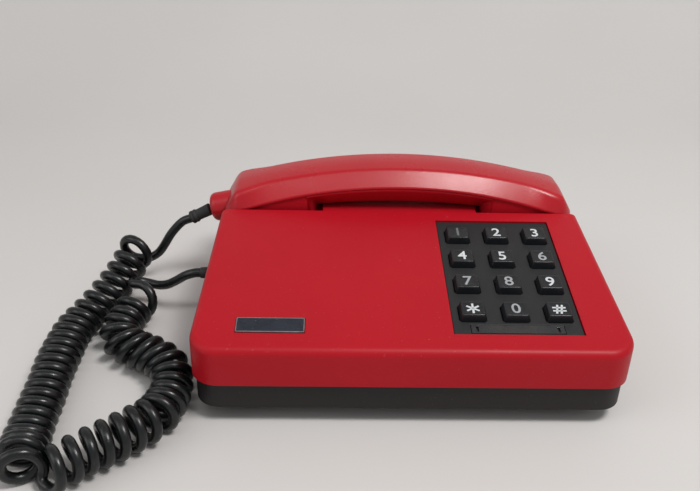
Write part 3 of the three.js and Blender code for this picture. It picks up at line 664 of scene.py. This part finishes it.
FRONT_Y, BACK_Y = -80, 80
FRONT_HALF_WIDTH, BACK_HALF_WIDTH = 100, 93.85
FRONT_CORNER, BACK_CORNER = 13, 10
BASE_BOTTOM_Z, BASE_CHAMFER_Z, SPLIT_Z = 3.2, 9, 22.5
FRONT_TOP_Z, REAR_DECK_Z = 41.5, 54
SLOPE = math.radians(8)
LEDGE_Z, TROUGH_Z, WELL_Z = 50.7, 50.2, 40
SHELF_Z, SHELF_BACK_Y = 55.6, 46
WALL, EDGE_RADIUS, BASE_INSET, BASE_CHAMFER, GAP = 2.5, 3.5, 1.8, 8, 0.3
SEAM_Y, POCKET_BACK_Y = 26.7, 66.9
WELL_INNER_X, WELL_OUTER_X = 41.5, 93
CASE_SCREWS = [(-86, -66), (86, -66), (-30, 62), (30, 62)]
FEET = [(-72, -56), (72, -56), (-70, 58), (70, 58)]
HANDSET_MIDDLE = 46.5
COLLAR = {"x": -89, "z": 50.9, "radius": 8, "length": 15.2, "rounding": 3.4, "tilt": math.radians(12)}
COLLAR_NOTCH_GAP, COLLAR_NOTCH_Z = 0.7, 49.4
GLAND_HOLE_RADIUS = 3.8
PLUNGER_X, PLUNGER_HOLE_RADIUS = -52, 3.6
JACK_HOLE = (-71.3, -55.7, 70, 90, 9.1, 20.9)
SOUNDER_SLOT_X, SOUNDER_SLOT_PITCH, SOUNDER_SLOTS = 29, 5, 5
CUT_TOP = 90
DECK = Matrix.Translation(mm(0, FRONT_Y, FRONT_TOP_Z)) @ Matrix.Rotation(SLOPE, 4, "X")


def deck_z(y):
    return FRONT_TOP_Z + math.tan(SLOPE) * (y - FRONT_Y)


def body_outline(inset, steps=14):
    front, back = FRONT_HALF_WIDTH - inset, BACK_HALF_WIDTH - inset
    near, far = FRONT_Y + inset, BACK_Y - inset
    corners = [(-front, near), (front, near), (back, far), (-back, far)]
    front_r, back_r = max(FRONT_CORNER - inset, 1), max(BACK_CORNER - inset, 1)
    return rounded(corners, [front_r, front_r, back_r, back_r], steps)


def body_form(inset, bottom, top, rim, steps=8):
    rings = [level(body_outline(inset), bottom)]
    for k in range(steps + 1):
        angle = k / steps * math.pi / 2
        step, drop = rim * (1 - math.cos(angle)), rim * (1 - math.sin(angle))
        rings.append(level(body_outline(inset + step), lambda y: top(y) - drop))
    return skin("tool", rings)


def collar_form(name, grow, sides=48):
    tilt, rounding = COLLAR["tilt"], COLLAR["rounding"]
    start = Vector(mm(COLLAR["x"], HANDSET_MIDDLE, COLLAR["z"]))
    place = along(start, start + Vector((-math.cos(tilt), 0, -math.sin(tilt))))
    radius, length = COLLAR["radius"] + grow, COLLAR["length"] + grow
    corner = [(radius - rounding + rounding * math.cos(a), length - rounding + rounding * math.sin(a))
              for a in (k * math.pi / 16 for k in range(9))]
    profile = [(0, -grow), (radius, -grow), *corner, (0, length)]
    return lathe(name, [mm(*p) for p in profile], place, sides)


PANEL = {"x0": 18.6, "x1": 77.4, "s0": 12.3, "s1": 99.6}
BADGE = {"x0": -79.2, "x1": -48.4, "s0": 11.9, "s1": 21.3}


def sunk_hole(outline, low):
    """A cutter through the deck, a gap larger than a panel or plate that is let into it."""
    x0, x1 = outline["x0"] - GAP, outline["x1"] + GAP
    s0, s1 = outline["s0"] - GAP, outline["s1"] + GAP
    return block(x0, x1, s0, s1, low, 6, DECK)


def body_cavity(top, y0, y1):
    """The hollow under a stretch of the top cover."""
    form = body_form(WALL, SPLIT_Z - 1, top, 1.2, 3)
    return combine(form, [block(-120, 120, y0, y1, 0, 120)], "INTERSECT")


def make_top_cover():
    front = combine(body_form(0, SPLIT_Z, deck_z, EDGE_RADIUS), [block(-120, 120, -120, SEAM_Y, -20, 120)],
                    "INTERSECT")
    rear = combine(body_form(0, SPLIT_Z, lambda y: REAR_DECK_Z, EDGE_RADIUS),
                   [block(-120, 120, SEAM_Y - 0.01, 120, -20, 120)], "INTERSECT")
    cover = combine(front, [rear], "UNION")
    notch = COLLAR["radius"] + COLLAR_NOTCH_GAP
    gland_hole = [(0, -8), (GLAND_HOLE_RADIUS, -8), (GLAND_HOLE_RADIUS, 8), (0, 8)]
    cutters = [
        block(-WELL_OUTER_X, WELL_OUTER_X, SEAM_Y, POCKET_BACK_Y, TROUGH_Z, CUT_TOP),
        block(-120, 120, SEAM_Y, POCKET_BACK_Y, LEDGE_Z, CUT_TOP),
        block(-WELL_OUTER_X, -WELL_INNER_X, SEAM_Y, POCKET_BACK_Y, WELL_Z, CUT_TOP),
        block(WELL_INNER_X, WELL_OUTER_X, SEAM_Y, POCKET_BACK_Y, WELL_Z, CUT_TOP),
        body_cavity(lambda y: deck_z(y) - WALL, -120, SEAM_Y - WALL),
        body_cavity(lambda y: WELL_Z - WALL, SEAM_Y - WALL - 0.01, 120),
        sunk_hole(PANEL, -6),
        sunk_hole(BADGE, -0.6),
        lathe("tool", [mm(*p) for p in gland_hole], along(GLAND, Vector(GLAND) - Vector((1, 0, 0)))),
        collar_form("tool", COLLAR_NOTCH_GAP),
        block(-110, -90, HANDSET_MIDDLE - notch, HANDSET_MIDDLE + notch, COLLAR_NOTCH_Z, 60),
        pin(PLUNGER_HOLE_RADIUS, PLUNGER_X, HANDSET_MIDDLE, 30, 45),
    ]
    cover = combine(cover, cutters, "DIFFERENCE")
    shelf = block(-WELL_INNER_X, WELL_INNER_X, SEAM_Y - 1, SHELF_BACK_Y, TROUGH_Z - 1, SHELF_Z)
    cover = combine(cover, [shelf], "UNION")
    cover.name = "top_cover_shell"
    flatten(cover)
    soften(cover, 0.45, 3)
    finish_piece(cover, MATERIALS["red"], BODY, "red_shell", "top_cover")


def make_base_tray():
    def ring(inset, z):
        return level(body_outline(inset), z)

    outer = [ring(BASE_INSET + BASE_CHAMFER, BASE_BOTTOM_Z), ring(BASE_INSET, BASE_CHAMFER_Z),
             ring(BASE_INSET, SPLIT_Z - GAP)]
    inner = [ring(BASE_INSET + BASE_CHAMFER + 1.5, BASE_BOTTOM_Z + WALL),
             ring(BASE_INSET + WALL, BASE_CHAMFER_Z + 1.4), ring(BASE_INSET + WALL, SPLIT_Z + 5)]
    tray = skin("base_tray_shell", outer)
    combine(tray, [skin("tool", inner)], "DIFFERENCE")
    combine(tray, [pin(5, x, y, BASE_BOTTOM_Z + 1, 20) for x, y in CASE_SCREWS], "UNION")
    cutters = [block(*JACK_HOLE)]
    cutters += [pin(1.8, x, y, 0, 30, sides=20) for x, y in CASE_SCREWS]
    cutters += [pin(3.6, x, y, 0, 7.2) for x, y in CASE_SCREWS]
    cutters += [pin(2.3, x, y, 0, 9, sides=20) for x, y in FEET]
    for slot in range(SOUNDER_SLOTS):
        x = SOUNDER_SLOT_X + (slot - SOUNDER_SLOTS // 2) * SOUNDER_SLOT_PITCH
        cutters.append(block(x, x + 2, -22, 2, 0, 9))
    combine(tray, cutters, "DIFFERENCE")
    flatten(tray)
    soften(tray, 0.5, 3, 25)
    finish_piece(tray, MATERIALS["black"], BODY, "black_base", "base_tray")


make_top_cover()
make_base_tray()


# ---------------------------------------------------------------- keypad

KEY_COLUMN_X, KEY_ROW_S, KEY_PITCH_X, KEY_PITCH_S = 28.3, 26.7, 19.93, 19.82
KEY_NAMES = [["star", "0", "hash"], ["7", "8", "9"], ["4", "5", "6"], ["1", "2", "3"]]
KEY_TOP = {"x": 10.6, "s": 9.4, "h": 2.8}
KEY_FLANGE = {"x": 15.8, "s": 14.4}
KEY_SKIRT = {"x": 12.2, "s": 11}
PRINT_HEIGHT, FONT_PER_HEIGHT = 6.4, 1.42
PRINT_WEAR = {"1": "print_gone", "6": "print_worn", "7": "print_worn", "8": "print_worn", "0": "print_worn"}


def key_places():
    for row, names in enumerate(KEY_NAMES):
        for column, name in enumerate(names):
            yield name, KEY_COLUMN_X + column * KEY_PITCH_X, KEY_ROW_S + row * KEY_PITCH_S


def make_key(name, x, s):
    """A key cap: each section is an outline, how far it is grown, its corner radius and its height."""
    height = KEY_TOP["h"]
    sections = [
        (KEY_FLANGE, 0, 1, -6.2),
        (KEY_FLANGE, 0, 1, -5),
        (KEY_SKIRT, 0, 1, -4.99),
        (KEY_SKIRT, 0, 1, -0.8),
        (KEY_TOP, 0.25, 0.9, height - 0.45),
        (KEY_TOP, 0.02, 0.85, height - 0.15),
        (KEY_TOP, -0.5, 0.7, height),
        (KEY_TOP, -2.4, 0.6, height - 0.12),
        (KEY_TOP, -6, 0.5, height - 0.2),
    ]
    rings = []
    for size, grow, radius, at in sections:
        half_x, half_s = (size["x"] + grow) / 2, (size["s"] + grow) / 2
        outline = rectangle(x - half_x, x + half_x, s - half_s, s + half_s, radius, 5)
        rings.append([DECK @ p for p in level(outline, at)])
    piece = skin(f"key_cap_{name}", rings)
    soften(piece, 0.25, 3, 40)
    finish_piece(piece, MATERIALS["key"], f"key_{name}_body", "key_plastic", f"key_{name}")


def printed_text(name, text):
    data = bpy.data.curves.new(name, "FONT")
    data.body = text
    data.align_x, data.align_y = "CENTER", "CENTER"
    data.size = mm(PRINT_HEIGHT) * FONT_PER_HEIGHT
    data.offset = mm(0.10)
    data.extrude = mm(0.02)
    data.resolution_u = 6
    source = new_object("text", data)
    bpy.context.view_layer.update()
    mesh = bpy.data.meshes.new_from_object(source.evaluated_get(bpy.context.evaluated_depsgraph_get()))
    bpy.data.objects.remove(source)
    return new_object(name, mesh)


def printed_bars(name, bars):
    """A sign drawn with straight strokes: each bar is its middle, length, width and angle."""
    form = bmesh.new()
    for (x, y), length, width, degrees in bars:
        turn = Matrix.Translation(mm(x, y, 0)) @ Matrix.Rotation(math.radians(degrees), 4, "Z")
        bmesh.ops.create_cube(form, size=1, matrix=turn @ Matrix.Diagonal((*mm(length, width, 0.04), 1)))
    mesh = bpy.data.meshes.new(name)
    form.to_mesh(mesh)
    form.free()
    return new_object(name, mesh)


def make_print(name, x, s):
    """A key's digit or sign, printed on its top."""
    if name == "star":
        piece = printed_bars(f"print_{name}", [((0, 0), 6.6, 1.0, a) for a in (90, 30, 150)])
    elif name == "hash":
        strokes = [((-1.0, 0), 6.2, 0.95, 78), ((1.1, 0), 6.2, 0.95, 78), ((0, 1.1), 6.2, 0.95, 0),
                   ((0, -1.1), 6.2, 0.95, 0)]
        piece = printed_bars(f"print_{name}", strokes)
    else:
        piece = printed_text(f"print_{name}", name)
    lift = DECK @ Matrix.Translation(mm(x, s - 0.2, KEY_TOP["h"] - 0.12))
    piece.data.transform(lift)
    finish_piece(piece, MATERIALS[PRINT_WEAR.get(name, "print_fresh")], f"key_{name}_body", "key_plastic")


def badge_outline(inset, radius):
    x0, x1 = BADGE["x0"] + inset, BADGE["x1"] - inset
    return rectangle(x0, x1, BADGE["s0"] + inset, BADGE["s1"] - inset, radius)


def make_badge():
    low, high = -0.3, 0.5
    inner, outer = badge_outline(0.5, 0.4), badge_outline(0, 0.8)
    plate = skin("badge_face", [[DECK @ p for p in level(inner, z)] for z in (low, high - 0.1)])
    soften(plate, 0.08)
    finish_piece(plate, MATERIALS["plate"], BODY, "badge", "badge_plate")
    rim = badge_outline(0.1, 0.7)
    section = [(outer, low), (outer, high - 0.1), (rim, high), (inner, high), (inner, low)]
    border = skin("badge_border", [[DECK @ p for p in level(o, z)] for o, z in section], closed=True)
    soften(border, 0.06)
    finish_piece(border, MATERIALS["silver"], BODY, "badge")


for key_name, key_x, key_s in key_places():
    make_key(key_name, key_x, key_s)
    make_print(key_name, key_x, key_s)
make_badge()


# ---------------------------------------------------------------- handset

HANDSET_FRONT, HANDSET_BACK = 28, 65
HANDSET_HALF_LENGTH = 95.2
CREST_Z, CREST_RADIUS = 78.6, 302
PARTING_Z, PARTING_RADIUS = 69.3, 260
GRIP_UNDER_Z, GRIP_UNDER_RADIUS = 58.6, 420
SHOULDER = {"x": 91.3, "z": 61.2, "fall": 1.9, "blend": 1.2}
HANDSET_CORNER = 8
GRIP_CHAMFER, GRIP_OPEN_Z = 6.5, 80
CUP = {"x0": 44, "x1": 92.6, "corner": 7, "foot": 1.2}
HANDSET_SCREW_X = 34
SOUND_HOLE_X, SOUND_HOLE_RING, SOUND_HOLE_RADIUS = 68, 6, 1.1


def arc_z(x, top, radius):
    return top - radius + math.sqrt(radius**2 - x**2)


def parting_z(x):
    return arc_z(x, PARTING_Z, PARTING_RADIUS)


def crest_z(x):
    arch = arc_z(x, CREST_Z, CREST_RADIUS)
    end = SHOULDER["z"] - SHOULDER["fall"] * (abs(x) - SHOULDER["x"])
    k = SHOULDER["blend"]
    return -k * math.log(math.exp(-arch / k) + math.exp(-end / k))


def corner_in(x):
    past = abs(x) - (HANDSET_HALF_LENGTH - HANDSET_CORNER)
    return 0 if past <= 0 else HANDSET_CORNER - math.sqrt(max(HANDSET_CORNER**2 - past**2, 0))


def eased(value, low, high):
    t = min(max((value - low) / (high - low), 0), 1)
    return t * t * (3 - 2 * t)


def upper_section(x):
    """A cross-section of the upper shell: short upright edge, wide chamfer, rounded ridge, slight crown."""
    to_end = eased(abs(x), 70, 86)
    top, parting = crest_z(x), parting_z(x)
    front, back = HANDSET_FRONT + corner_in(x), HANDSET_BACK - corner_in(x)
    height = max(top - parting, 1.5)
    chamfer = (7.6 + (3.6 - 7.6) * to_end) * min(1, height / 6)
    ridge, low = top - 0.1 * height, parting + 0.1 * height
    corners = [(front, parting), (front, low), (front + chamfer, ridge), (HANDSET_MIDDLE, top),
               (back - chamfer, ridge), (back, low), (back, parting)]
    ridge_r, foot_r = min(5, 0.45 * height), min(1.5, 0.12 * height)
    outline = rounded(corners, [0, foot_r, ridge_r, 60, ridge_r, foot_r, 0], 7)
    return [Vector((x, p.x, p.y)) / 1000 for p in outline]


def handset_stations():
    inner = [i * 4 for i in range(20)]
    outer = [78 + i * 1.2 for i in range(12)] + [92.4, 93.2, 93.9, 94.5, 94.95, HANDSET_HALF_LENGTH]
    half = inner + outer
    return [-x for x in reversed(half[1:])] + half


def make_handset_upper():
    piece = skin("handset_upper", [upper_section(x) for x in handset_stations()])
    combine(piece, [collar_form("tool", GAP)], "DIFFERENCE")
    flatten(piece, 0.05)
    soften(piece, 0.35, 3, 42)
    finish_piece(piece, MATERIALS["handset"], HANDSET, "red_shell", "handset_upper_shell")


def grip_section(x):
    front, back = HANDSET_FRONT + 0.3, HANDSET_BACK - 0.3
    under, parting = arc_z(x, GRIP_UNDER_Z, GRIP_UNDER_RADIUS), parting_z(x)
    side = parting - (parting - under) * 0.16
    corners = [(front, GRIP_OPEN_Z), (front, side), (front + GRIP_CHAMFER, under),
               (back - GRIP_CHAMFER, under), (back, side), (back, GRIP_OPEN_Z)]
    return [Vector((x, p.x, p.y)) / 1000 for p in rounded(corners, [0, 1.2, 3, 3, 1.2, 0], 6)]


def cup_form(side):
    """A drafted cup, with a small foot, that stands in a well. Its top is open into the upper shell."""
    bottom = WELL_Z + GAP
    rings = []
    for z, draft in ((bottom, 2 * CUP["foot"]), (bottom + CUP["foot"], CUP["foot"]), (GRIP_OPEN_Z, 0)):
        x0, x1 = CUP["x0"] + draft, CUP["x1"] + (0 if z == GRIP_OPEN_Z else -0.4) - draft * 0.4
        y0, y1 = HANDSET_FRONT + GAP + draft, HANDSET_BACK - GAP - draft
        outline = rectangle(x0, x1, y0, y1, CUP["corner"], 8)
        rings.append(level([Vector((p.x * side, p.y)) for p in outline], z))
    return skin("tool", rings)


def above_parting():
    xs = range(-110, 111, 5)
    edge = [(x, parting_z(x) - GAP) for x in xs]
    profile = [(-110, 110), *edge, (110, 110)]
    return skin("tool", [[Vector((x, y, z)) / 1000 for x, z in profile] for y in (0, 90)])


def sound_holes(side):
    """Seven small holes through the floor of a cup."""
    angles = [k * math.pi / 3 for k in range(6)]
    places = [(SOUND_HOLE_RING * math.cos(a), SOUND_HOLE_RING * math.sin(a)) for a in angles] + [(0, 0)]
    return [pin(SOUND_HOLE_RADIUS, side * SOUND_HOLE_X + x, HANDSET_MIDDLE + y, 38, 42.4, sides=16)
            for x, y in places]


def make_handset_lower():
    piece = skin("handset_lower", [grip_section(x) for x in range(-50, 51, 5)])
    combine(piece, [cup_form(-1), cup_form(1)], "UNION")
    cutters = [above_parting(), collar_form("tool", GAP)]
    cutters += [pin(3.1, side * HANDSET_SCREW_X, HANDSET_MIDDLE, 50, 61.6) for side in (-1, 1)]
    cutters += sound_holes(-1) + sound_holes(1)
    combine(piece, cutters, "DIFFERENCE")
    flatten(piece, 0.05)
    soften(piece, 0.3, 3, 42)
    finish_piece(piece, MATERIALS["handset"], HANDSET, "red_shell", "handset_lower_shell")


def make_collar():
    collar = collar_form("collar", 0)
    soften(collar, 0.4, 3)
    return finish_piece(collar, MATERIALS["handset"], HANDSET, "red_shell", "cord_collar")


def make_relief():
    """A plain sleeve with two small bumps at the end where the cord leaves it."""
    start, end = Vector(RELIEF_START), Vector(RELIEF_END)
    length = (end - start).length * 1000
    profile = [(0, 0.9), (3.5, 0.9), (3.4, 2), (3.15, length - 4.4)]
    for bump in (length - 2.9, length - 0.9):
        profile += [(3.15, bump - 1.1), (3.6, bump - 0.7), (3.75, bump), (3.6, bump + 0.6)]
    profile += [(3.2, length), (0, length)]
    relief = lathe("relief", [mm(*p) for p in profile], along(start, end))
    soften(relief, 0.15, 2, 40)
    return finish_piece(relief, MATERIALS["rubber"], HANDSET, "rubber", "cord_relief")


def make_gland():
    """A collar inside the wall, a groove for the wall, a small flange and a tapering sleeve."""
    profile = [(0, -5), (5.2, -5), (5.2, -2.9), (3.5, -2.9), (3.5, 0.4), (4.2, 0.4), (4.2, 1.4), (3.4, 1.8),
               (3.3, 3.6), (3.2, 5.2), (3.05, 7), (2.85, 9.5), (0, 9.5)]
    gland = lathe("gland", [mm(*p) for p in profile], along(GLAND, Vector(GLAND) - Vector((1, 0, 0))))
    soften(gland, 0.2, 2, 40)
    return finish_piece(gland, MATERIALS["rubber"], BODY, "rubber", "cord_gland")


make_handset_upper()
make_handset_lower()
collar = make_collar()
relief = make_relief()
gland = make_gland()


# ---------------------------------------------------------------- carried-over CAD nodes

CAD_FINISHES = {
    "rubber": ["rubber_foot_1", "rubber_foot_2", "rubber_foot_3", "rubber_foot_4", "microphone_capsule"],
    "steel": ["case_screw_1", "case_screw_2", "case_screw_3", "case_screw_4", "handset_screw_1",
              "handset_screw_2", "hook_spring", "receiver_capsule"],
    "charcoal": ["keypad_panel", "hook_plunger"],
    "window": ["number_card_window"],
    "silicone": ["keypad_mat"],
    "board": ["keypad_board", "main_board"],
    "housing": ["dialler_chip", "line_transformer", "ring_capacitor", "ringer_sounder", "line_jack",
                "hook_switch"],
}
EDGE_BREAKS = {"keypad_panel": 0.25, "number_card_window": 0.1, "line_jack": 0.2, "hook_switch": 0.3,
               "line_transformer": 0.3, "dialler_chip": 0.2}

for finish, names in CAD_FINISHES.items():
    for node in names:
        paint(smooth_cad(node, EDGE_BREAKS.get(node, 0)), MATERIALS[finish])


# ---------------------------------------------------------------- stage and light

FLOOR_NEAR_Y, FLOOR_FAR_Y, FLOOR_HALF_WIDTH, SWEEP_RADIUS = -1.6, 0.30, 2.2, 0.42


def make_stage():
    """A pale sheet that lies flat and sweeps up behind the telephone."""
    rows = [(y, 0.0) for y in np.linspace(FLOOR_NEAR_Y, FLOOR_FAR_Y, 12)]
    for a in np.linspace(0.1, math.pi / 2, 16):
        rows.append((FLOOR_FAR_Y + SWEEP_RADIUS * math.sin(a), SWEEP_RADIUS * (1 - math.cos(a))))
    rows += [(FLOOR_FAR_Y + SWEEP_RADIUS, SWEEP_RADIUS + z) for z in (0.4, 1.2)]
    form = bmesh.new()
    lines = [[form.verts.new((x, y, z)) for x in (-FLOOR_HALF_WIDTH, FLOOR_HALF_WIDTH)] for y, z in rows]
    for low, high in zip(lines, lines[1:]):
        form.faces.new((low[0], low[1], high[1], high[0]))
    mesh = bpy.data.meshes.new("sweep_floor")
    form.to_mesh(mesh)
    form.free()
    floor = new_object("sweep_floor", mesh)
    for face in mesh.polygons:
        face.use_smooth = True
    paint(floor, MATERIALS["paper"])


def area_light(name, place, target, size, power, colour):
    data = bpy.data.lights.new(name, "AREA")
    data.shape = "RECTANGLE"
    data.size, data.size_y = size
    data.energy = power
    data.color = colour
    light = new_object(name, data)
    light.location = place
    light.rotation_euler = (Vector(target) - Vector(place)).to_track_quat("-Z", "Y").to_euler()


def make_light():
    area_light("overhead", (0.40, -0.36, 1.08), (0, 0, 0.03), (0.36, 0.30), 8.6, (1, 0.985, 0.97))
    area_light("front_strip", (0.05, -0.44, 1.2), (0, 0, 0.03), (1.6, 0.10), 2.6, (1, 0.99, 0.98))
    area_light("left_fill", (-1.3, -0.5, 0.9), (0, 0, 0.05), (0.9, 0.9), 4, (1, 0.98, 0.98))
    area_light("back_soft", (0.8, 1.0, 1.2), (0.3, 0.2, 0), (1.2, 0.5), 1.6, (1, 0.98, 0.96))
    world = bpy.data.worlds.new("studio")
    world.use_nodes = True
    background = world.node_tree.nodes["Background"]
    background.inputs["Color"].default_value = (0.87, 0.87, 0.88, 1)
    background.inputs["Strength"].default_value = 0.48
    scene.world = world
    scene.view_settings.view_transform = "Standard"


make_stage()
make_light()
